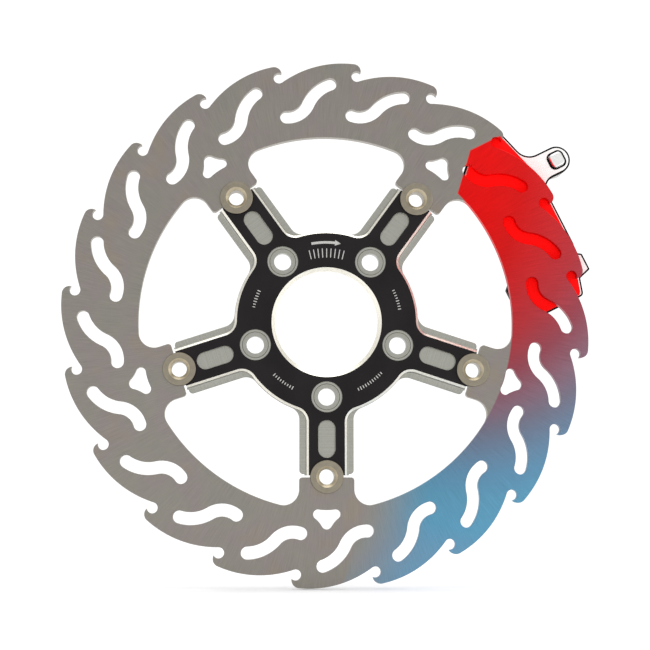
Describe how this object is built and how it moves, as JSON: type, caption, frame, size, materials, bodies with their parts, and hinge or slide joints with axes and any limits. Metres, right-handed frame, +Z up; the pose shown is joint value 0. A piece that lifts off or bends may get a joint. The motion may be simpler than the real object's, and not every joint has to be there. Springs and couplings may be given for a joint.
{
  "type": "floating brake disc with pad",
  "caption": "Floating motorcycle brake disc: hook-toothed, slotted steel rotor on a black spoked carrier, joined by hollow bobbins, with the pad that bears on its inboard face.",
  "frame": {"origin": "centre of the disc on the wheel axle's line, on the middle plane of the rotor's thickness", "axes": "+Y along the axle towards the wheel (inboard), so the outboard face looks along -Y; +Z up; +X to the right as seen from outboard"},
  "size_m": [0.2943, 0.0308, 0.291],
  "materials": {
    "ground_steel": "stainless brake steel, ground flat on both faces, with a heat tint over part of the swept band",
    "black_anodised": "black anodised aluminium, with the flange, pockets and bolt seats machined bright after anodising",
    "bobbin_steel": "turned steel",
    "spring_steel": "rolled spring steel",
    "washer_steel": "zinc plated steel",
    "circlip_steel": "phosphated spring steel, dark",
    "plate_enamel": "white stove enamel on steel, black along its edges",
    "friction_material": "moulded friction material, red, faintly speckled",
    "shim_coating": "rubber-coated steel shim, matt",
    "pin_steel": "bright polished stainless steel"
  },
  "bodies": {
    "guide": {"pad_guide_pin": "pin_steel"},
    "pad": {"backing_plate": "plate_enamel", "friction_lining": "friction_material", "insulator_shim": "shim_coating"},
    "carrier": {"carrier": "black_anodised"},
    "rotor": {"rotor": "ground_steel"},
    "bobbin_1": {"bobbin_1": "bobbin_steel", "wave_washer_1": "spring_steel", "flat_washer_1": "washer_steel", "circlip_1": "circlip_steel"},
    "bobbin_2": {"bobbin_2": "bobbin_steel", "wave_washer_2": "spring_steel", "flat_washer_2": "washer_steel", "circlip_2": "circlip_steel"},
    "bobbin_3": {"bobbin_3": "bobbin_steel", "wave_washer_3": "spring_steel", "flat_washer_3": "washer_steel", "circlip_3": "circlip_steel"},
    "bobbin_4": {"bobbin_4": "bobbin_steel", "wave_washer_4": "spring_steel", "flat_washer_4": "washer_steel", "circlip_4": "circlip_steel"},
    "bobbin_5": {"bobbin_5": "bobbin_steel", "wave_washer_5": "spring_steel", "flat_washer_5": "washer_steel", "circlip_5": "circlip_steel"}
  },
  "joints": [
    {"name": "disc_spin", "type": "hinge", "parent": "guide", "child": "carrier", "pos_m": [0, 0, 0], "axis": [0, 1, 0], "continuous": true},
    {"name": "pad_slide", "type": "slide", "parent": "guide", "child": "pad", "axis": [0, 1, 0], "range_m": [-0.0003, 0.003]},
    {"name": "rotor_float", "type": "slide", "parent": "carrier", "child": "rotor", "axis": [0, 1, 0], "range_m": [-0.00025, 0.00025], "stiffness_N_per_m": 2000},
    {"name": "bobbin_1_turn", "type": "hinge", "parent": "carrier", "child": "bobbin_1", "pos_m": [0, 0, -0.08505], "axis": [0, 1, 0], "continuous": true},
    {"name": "bobbin_2_turn", "type": "hinge", "parent": "carrier", "child": "bobbin_2", "pos_m": [-0.08089, 0, -0.02628], "axis": [0, 1, 0], "continuous": true},
    {"name": "bobbin_3_turn", "type": "hinge", "parent": "carrier", "child": "bobbin_3", "pos_m": [-0.04999, 0, 0.06881], "axis": [0, 1, 0], "continuous": true},
    {"name": "bobbin_4_turn", "type": "hinge", "parent": "carrier", "child": "bobbin_4", "pos_m": [0.04999, 0, 0.06881], "axis": [0, 1, 0], "continuous": true},
    {"name": "bobbin_5_turn", "type": "hinge", "parent": "carrier", "child": "bobbin_5", "pos_m": [0.08089, 0, -0.02628], "axis": [0, 1, 0], "continuous": true}
  ]
}
